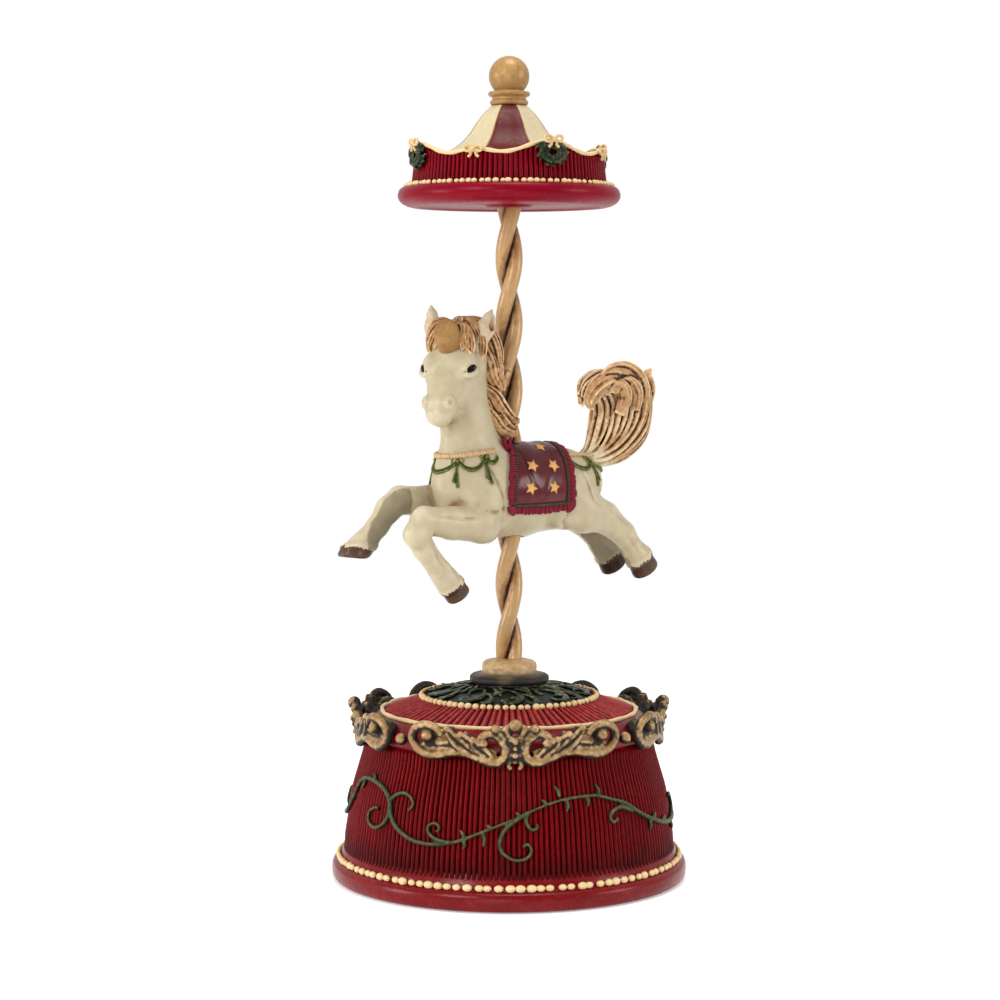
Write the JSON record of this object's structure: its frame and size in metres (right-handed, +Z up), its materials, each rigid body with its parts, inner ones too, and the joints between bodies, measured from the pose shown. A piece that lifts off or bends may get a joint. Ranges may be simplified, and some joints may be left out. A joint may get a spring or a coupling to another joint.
{
  "type": "wind-up music box",
  "caption": "Carousel-horse music box: a fluted drum holds a spring movement that turns a twisted pole, a prancing horse and a tented canopy; a butterfly key winds it from below.",
  "frame": {"origin": "centre of the round foot, on the surface the box stands on", "axes": "+Z up the pole; -Y towards the viewer who sees the horse's left side; +X to that viewer's right"},
  "size_m": [0.0918, 0.092, 0.2111],
  "materials": {
    "red_resin": "cast resin, painted deep red with a dark wash",
    "cream_resin": "cast resin, painted cream with a brown wash",
    "gold_paint": "cast resin, dry-brushed dull gold over black",
    "hair_paint": "cast resin, painted honey brown",
    "fibreboard": "black hardboard",
    "zinc": "die-cast zinc",
    "steel": "bright steel",
    "brass": "turned brass",
    "nylon": "nylon"
  },
  "bodies": {
    "base": {"base_shell": "red_resin", "bottom_plate": "fibreboard", "plate_screw_1": "steel", "plate_screw_2": "steel", "plate_screw_3": "steel", "bedplate": "zinc", "movement_screw_1": "steel", "movement_screw_2": "steel", "movement_screw_3": "steel", "comb": "steel", "comb_screw_1": "steel", "comb_screw_2": "steel", "governor_frame": "brass", "governor_screw": "steel", "top_bush": "brass", "thrust_washer": "nylon"},
    "carousel": {"barrel_cup": "brass", "barrel_wheel": "brass", "barrel_lid": "brass", "mainspring": "steel", "output_shaft": "steel", "pole_foot": "gold_paint", "lower_pole": "gold_paint", "upper_pole": "gold_paint", "horse_body": "cream_resin", "front_left_leg": "cream_resin", "front_right_leg": "cream_resin", "hind_left_leg": "cream_resin", "hind_right_leg": "cream_resin", "mane": "hair_paint", "tail": "hair_paint", "forehead_knob": "gold_paint", "canopy_drum": "red_resin", "canopy_crest": "gold_paint", "canopy_roof": "cream_resin", "finial": "gold_paint"},
    "cylinder": {"cylinder": "brass", "cylinder_arbor": "steel", "cylinder_pinion": "brass", "cylinder_end_wheel": "brass"},
    "governor_wheel": {"governor_wheel": "brass"},
    "governor_worm": {"governor_worm": "steel", "governor_fly": "steel"},
    "key": {"winding_arbor": "steel", "winding_key": "brass"}
  },
  "joints": [
    {"name": "carousel_spin", "type": "hinge", "parent": "base", "child": "carousel", "pos_m": [0, 0, 0.05], "axis": [0, 0, 1], "continuous": true},
    {"name": "cylinder_spin", "type": "hinge", "parent": "base", "child": "cylinder", "pos_m": [0.02, 0, 0.026], "axis": [1, 0, 0], "continuous": true},
    {"name": "governor_wheel_spin", "type": "hinge", "parent": "base", "child": "governor_wheel", "pos_m": [0.026, 0.0105, 0.026], "axis": [1, 0, 0], "continuous": true},
    {"name": "governor_worm_spin", "type": "hinge", "parent": "base", "child": "governor_worm", "pos_m": [0.0257, 0.0151, 0.026], "axis": [0, 0, 1], "continuous": true},
    {"name": "key_winding", "type": "hinge", "parent": "base", "child": "key", "pos_m": [0, 0, 0.01], "axis": [0, 0, 1], "continuous": true}
  ],
  "couplings": [
    {"joint": "cylinder_spin", "follows": "carousel_spin", "ratio": 4},
    {"joint": "governor_wheel_spin", "follows": "carousel_spin", "ratio": -10.857},
    {"joint": "governor_worm_spin", "follows": "carousel_spin", "ratio": 217.14}
  ]
}
